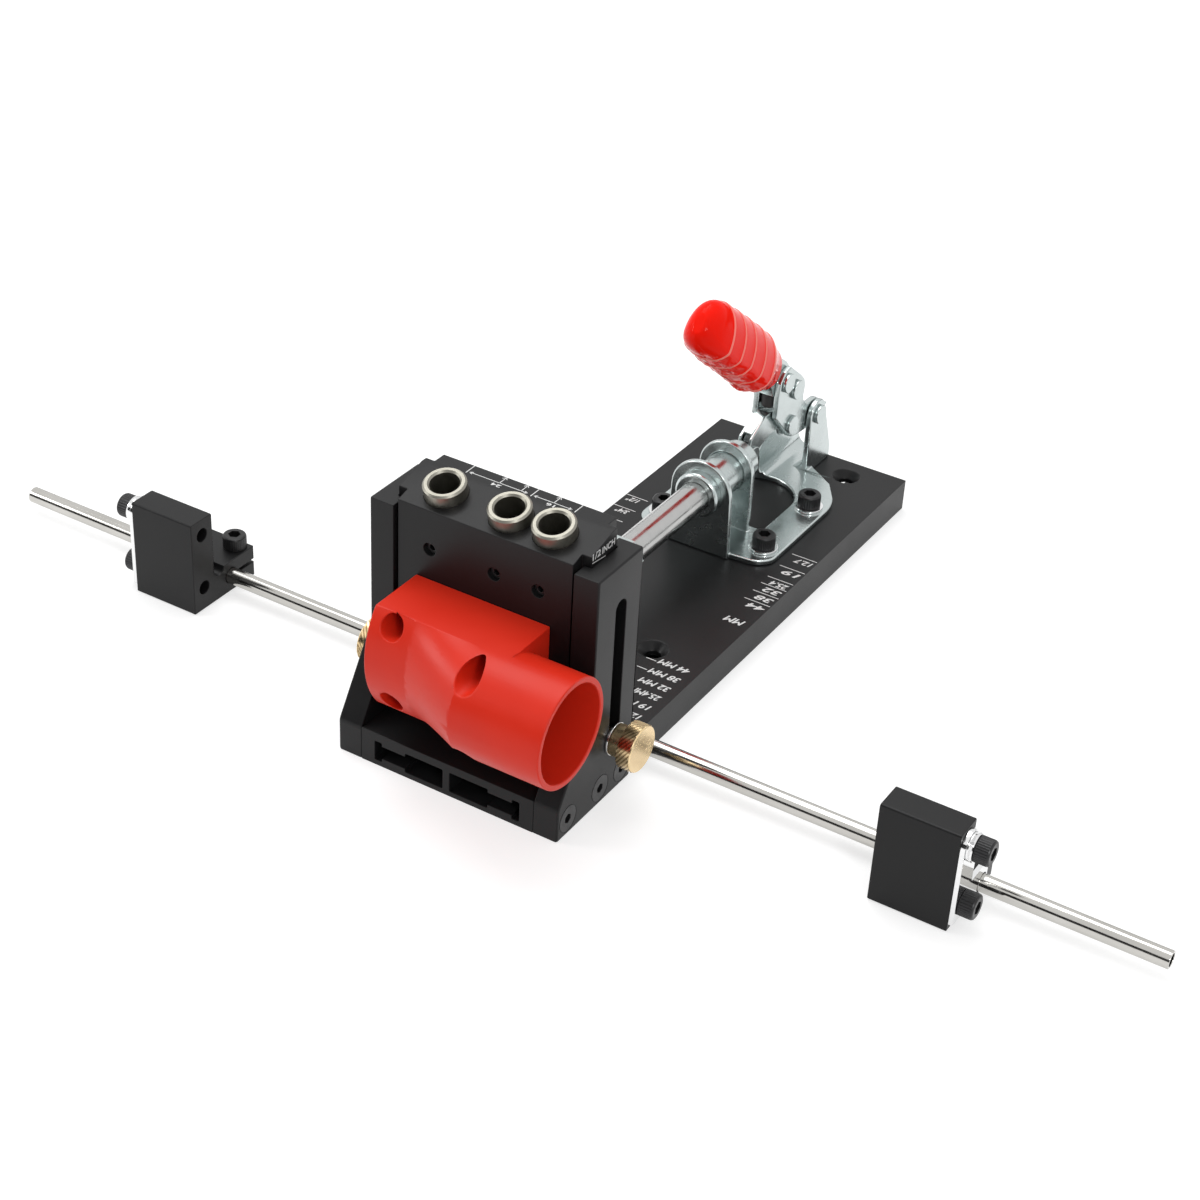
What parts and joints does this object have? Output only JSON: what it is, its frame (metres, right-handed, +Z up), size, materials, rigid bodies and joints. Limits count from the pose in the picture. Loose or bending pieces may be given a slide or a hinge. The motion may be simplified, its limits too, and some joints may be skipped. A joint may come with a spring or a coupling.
{
  "type": "pocket hole drilling jig",
  "caption": "Bench jig that guides a stepped drill at a slant, with height-set guide block, dust nozzle, side stops on rods and a push toggle clamp.",
  "frame": {"origin": "on the bench face of the base, in the jig's middle plane, below the upper front edge of the side plates", "axes": "+X along the right rod, +Y from the guide block to the clamp, +Z up"},
  "size_m": [0.444, 0.2676, 0.1132],
  "materials": {
    "black_anodised": "satin black anodised",
    "black_oxide": "black oxide",
    "ground_steel": "ground bright steel",
    "red_plastic": "satin moulded red",
    "brass": "turned brass",
    "stainless": "polished stainless steel",
    "polished_steel": "mirror polished",
    "zinc_plate": "bright zinc plated",
    "red_vinyl": "glossy dipped vinyl",
    "black_rubber": "moulded black rubber"
  },
  "bodies": {
    "frame": {"base_plate": "black_anodised", "left_side_plate": "black_anodised", "right_side_plate": "black_anodised", "left_side_plate_screws": "black_oxide", "right_side_plate_screws": "black_oxide", "left_rod": "stainless", "right_rod": "stainless", "clamp_base": "zinc_plate", "clamp_sleeve": "zinc_plate", "clamp_screws": "black_oxide", "clamp_washers": "stainless", "ear_rivet": "zinc_plate"},
    "guide": {"drill_guide_block": "black_anodised", "left_drill_bushing": "ground_steel", "middle_drill_bushing": "ground_steel", "right_drill_bushing": "ground_steel", "bushing_set_screws": "black_oxide", "dust_nozzle": "red_plastic", "nozzle_screws": "black_oxide", "left_knob_washer": "stainless", "right_knob_washer": "stainless"},
    "left_knob": {"left_height_knob": "brass"},
    "right_knob": {"right_height_knob": "brass"},
    "left_stop": {"left_stop_block": "black_anodised", "left_stop_plate": "polished_steel", "left_stop_washers": "stainless", "left_stop_screws": "black_oxide", "left_pinch_screw": "black_oxide"},
    "right_stop": {"right_stop_block": "black_anodised", "right_stop_plate": "polished_steel", "right_stop_washers": "stainless", "right_stop_screws": "black_oxide", "right_pinch_screw": "black_oxide"},
    "handle": {"handle_bar": "zinc_plate", "left_handle_plate": "zinc_plate", "right_handle_plate": "zinc_plate", "handle_rivets": "zinc_plate", "link_rivet": "zinc_plate", "handle_grip": "red_vinyl", "handle_bumper": "black_rubber"},
    "plunger": {"clamp_plunger": "ground_steel", "clamp_spindle": "zinc_plate", "spindle_nut": "zinc_plate", "clamp_pad": "black_rubber", "plunger_pin": "ground_steel"},
    "link": {"clamp_link": "zinc_plate"}
  },
  "joints": [
    {"name": "guide_height", "type": "slide", "parent": "frame", "child": "guide", "axis": [0, 0, 1], "range_m": [0, 0.049]},
    {"name": "left_knob_turn", "type": "hinge", "parent": "guide", "child": "left_knob", "pos_m": [-0.0474, 0.0139, 0.0217], "axis": [-1, 0, 0], "continuous": true},
    {"name": "right_knob_turn", "type": "hinge", "parent": "guide", "child": "right_knob", "pos_m": [0.0474, 0.0139, 0.0217], "axis": [1, 0, 0], "continuous": true},
    {"name": "left_stop_slide", "type": "slide", "parent": "frame", "child": "left_stop", "axis": [-1, 0, 0], "range_m": [-0.0752, 0.066]},
    {"name": "right_stop_slide", "type": "slide", "parent": "frame", "child": "right_stop", "axis": [1, 0, 0], "range_m": [-0.0794, 0.0618]},
    {"name": "handle_swing", "type": "hinge", "parent": "frame", "child": "handle", "pos_m": [0, 0.2146, 0.0369], "axis": [-1, 0, 0], "range_deg": [0, 95]},
    {"name": "plunger_slide", "type": "slide", "parent": "frame", "child": "plunger", "axis": [0, 1, 0], "range_m": [0, 0.0308]},
    {"name": "link_pivot", "type": "hinge", "parent": "plunger", "child": "link", "pos_m": [0, 0.1728, 0.0363], "axis": [1, 0, 0], "range_deg": [0, 42.4]}
  ],
  "couplings": [
    {"joint": "plunger_slide", "follows": "handle_swing", "m_per_rad": 0.01855},
    {"joint": "link_pivot", "follows": "handle_swing", "ratio": 0.4454}
  ]
}
